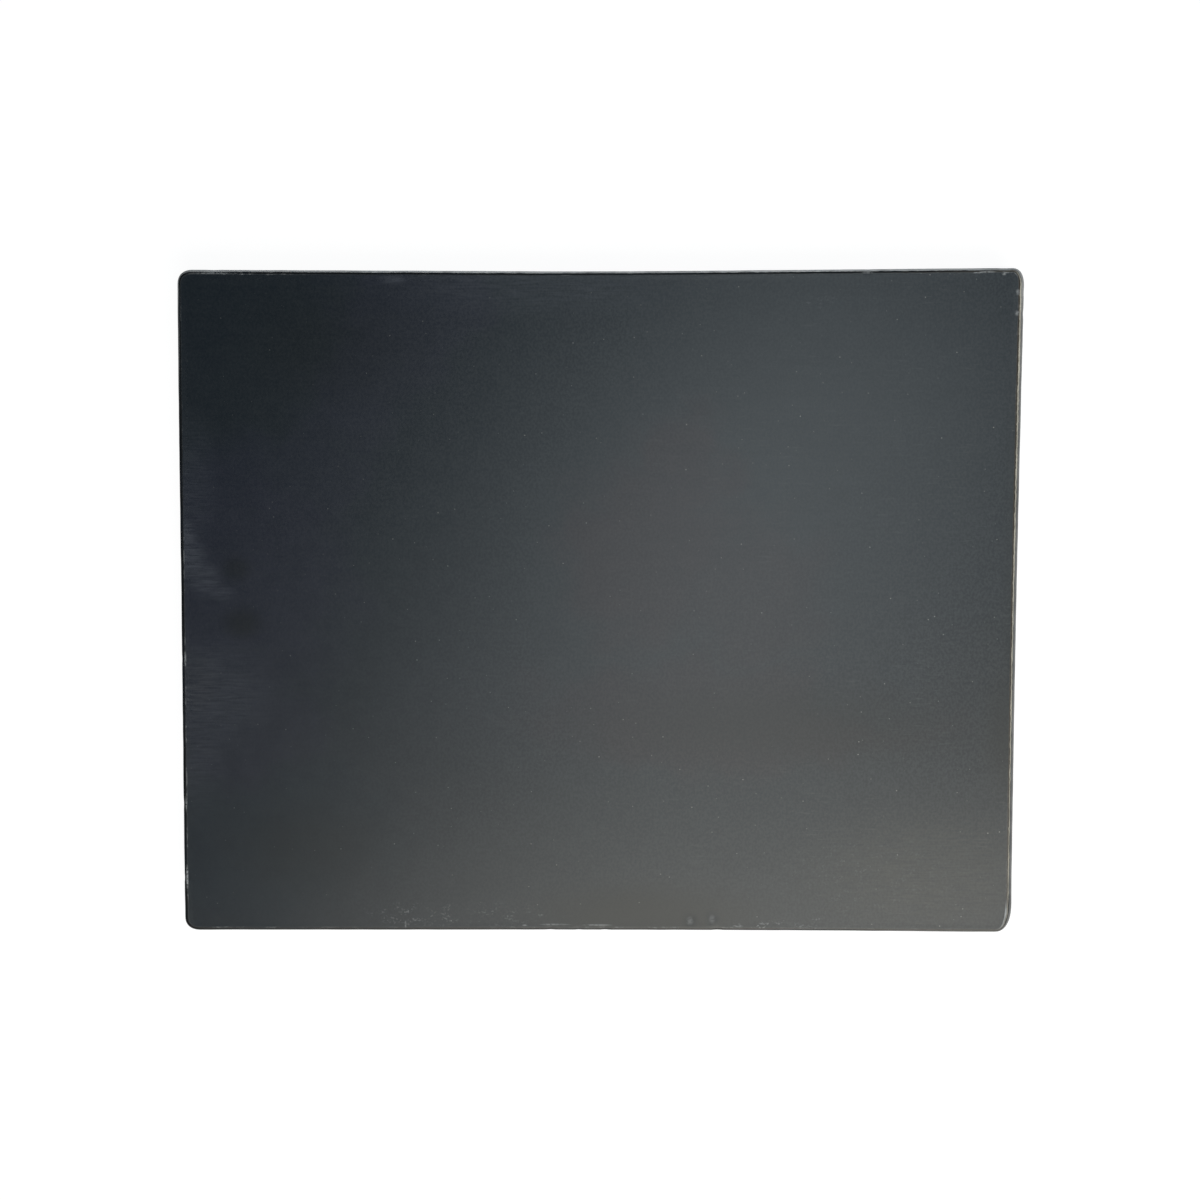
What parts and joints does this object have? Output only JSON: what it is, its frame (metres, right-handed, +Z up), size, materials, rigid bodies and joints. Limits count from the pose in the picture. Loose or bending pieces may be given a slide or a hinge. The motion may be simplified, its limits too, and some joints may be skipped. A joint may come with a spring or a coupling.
{
  "type": "wooden serving board",
  "caption": "Flat rectangular wooden serving board: edge-glued, dowelled staves under worn matte charcoal paint, with eased edges and rounded corners.",
  "frame": {"origin": "centre of the underside, on the surface that the board lies on", "axes": "+X along the grain and the board's length, +Y across the staves towards the back edge, +Z up"},
  "size_m": [0.378, 0.3, 0.019],
  "materials": {
    "charcoal_paint": "matte charcoal paint on pine, worn to bare wood along the edges",
    "beech": "bare wood"
  },
  "bodies": {
    "root": {"front_edge_stave": "charcoal_paint", "stave_2": "charcoal_paint", "stave_3": "charcoal_paint", "stave_4": "charcoal_paint", "stave_5": "charcoal_paint", "stave_6": "charcoal_paint", "stave_7": "charcoal_paint", "back_edge_stave": "charcoal_paint", "dowels_staves_1_2": "beech", "dowels_staves_2_3": "beech", "dowels_staves_3_4": "beech", "dowels_staves_4_5": "beech", "dowels_staves_5_6": "beech", "dowels_staves_6_7": "beech", "dowels_staves_7_8": "beech"}
  },
  "joints": []
}
